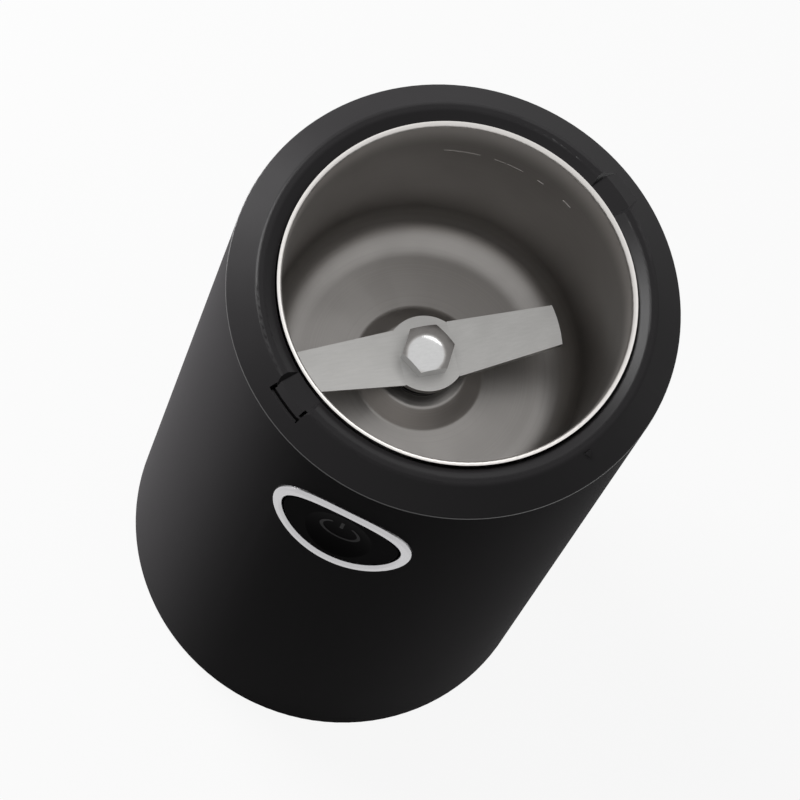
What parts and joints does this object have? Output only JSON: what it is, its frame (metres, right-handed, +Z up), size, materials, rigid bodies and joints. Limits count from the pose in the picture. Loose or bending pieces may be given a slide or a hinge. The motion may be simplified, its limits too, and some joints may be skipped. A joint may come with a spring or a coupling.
{
  "type": "electric coffee grinder",
  "caption": "Upright round electric blade grinder with a black tube body, steel grinding bowl, notched collar, chrome-ringed front start button and an inner motor.",
  "frame": {"origin": "on the table under the middle of the body, in the plane of the feet", "axes": "+Z up along the motor shaft, -Y towards the start button, +X to the right seen from the button"},
  "size_m": [0.095, 0.0968, 0.165],
  "materials": {
    "body_black": "soft-touch matte coat over moulded plastic",
    "base_black": "fine moulded texture",
    "foot_rubber": "matte",
    "screw_zinc": "zinc plated",
    "collar_black": "satin moulded plastic",
    "bowl_steel": "satin, turned lines inside",
    "seal_rubber": "matte",
    "blade_steel": "ground",
    "hub_black": "moulded",
    "nut_steel": "polished",
    "frame_grey": "glass-filled moulding",
    "bracket_aluminium": "die cast",
    "bearing_bronze": "sintered bronze and sheet brass",
    "lamination_steel": "stacked laminations",
    "copper_wire": "enamelled wire",
    "shaft_steel": "ground",
    "commutator_copper": "turned",
    "fan_plastic": "moulded",
    "switch_black": "moulded",
    "brush_carbon": "pressed carbon",
    "spring_steel": "drawn wire",
    "bezel_chrome": "bright plating",
    "button_black": "satin",
    "plunger_red": "moulded",
    "block_white": "moulded",
    "suppressor_yellow": "potted box"
  },
  "bodies": {
    "housing": {"body_shell": "body_black", "base_cover": "base_black", "rubber_feet": "foot_rubber", "base_screws": "screw_zinc", "top_collar": "collar_black", "collar_screws": "screw_zinc", "grinding_bowl": "bowl_steel", "shaft_seal": "seal_rubber", "inner_frame": "frame_grey", "motor_mounts": "seal_rubber", "mount_screws": "screw_zinc", "motor_top_bracket": "bracket_aluminium", "upper_bearing": "bearing_bronze", "motor_bottom_bracket": "bracket_aluminium", "lower_bearing": "bearing_bronze", "motor_bolts": "screw_zinc", "stator_core": "lamination_steel", "field_coils": "copper_wire", "brush_holders": "bearing_bronze", "brush_caps": "switch_black", "brush_spring_front": "spring_steel", "brush_spring_rear": "spring_steel", "button_bezel": "bezel_chrome", "button_spring": "spring_steel", "start_switch": "switch_black", "switch_bracket": "frame_grey", "switch_screws": "screw_zinc", "interlock_spring": "spring_steel", "interlock_switch": "switch_black", "cord_grommet": "seal_rubber", "cord_clamp": "frame_grey", "clamp_screws": "screw_zinc", "terminal_block": "block_white", "suppressor": "suppressor_yellow"},
    "rotor": {"motor_shaft": "shaft_steel", "armature_core": "lamination_steel", "armature_winding": "copper_wire", "commutator": "commutator_copper", "fan": "fan_plastic", "blade_hub": "hub_black", "blade": "blade_steel", "blade_nut": "nut_steel"},
    "start_button": {"button": "button_black", "switch_plunger": "plunger_red"},
    "lid_interlock": {"interlock_plunger": "collar_black", "interlock_contact": "plunger_red"},
    "front_brush": {"brush_front": "brush_carbon"},
    "rear_brush": {"brush_rear": "brush_carbon"}
  },
  "joints": [
    {"name": "rotor_spin", "type": "hinge", "parent": "housing", "child": "rotor", "pos_m": [0, 0, 0.07], "axis": [0, 0, 1], "continuous": true},
    {"name": "button_press", "type": "slide", "parent": "housing", "child": "start_button", "axis": [0, 1, 0], "range_m": [0, 0.0016], "stiffness_N_per_m": 1200, "springref_m": -0.0025, "deforming": ["button_spring"]},
    {"name": "interlock_press", "type": "slide", "parent": "housing", "child": "lid_interlock", "axis": [0, 0, -1], "range_m": [0, 0.002], "stiffness_N_per_m": 500, "springref_m": -0.002, "deforming": ["interlock_spring"]},
    {"name": "front_brush_lift", "type": "slide", "parent": "housing", "child": "front_brush", "axis": [0, -1, 0], "range_m": [0, 0.0025], "stiffness_N_per_m": 300, "springref_m": -0.004, "deforming": ["brush_spring_front"]},
    {"name": "rear_brush_lift", "type": "slide", "parent": "housing", "child": "rear_brush", "axis": [0, 1, 0], "range_m": [0, 0.0025], "stiffness_N_per_m": 300, "springref_m": -0.004, "deforming": ["brush_spring_rear"]}
  ]
}
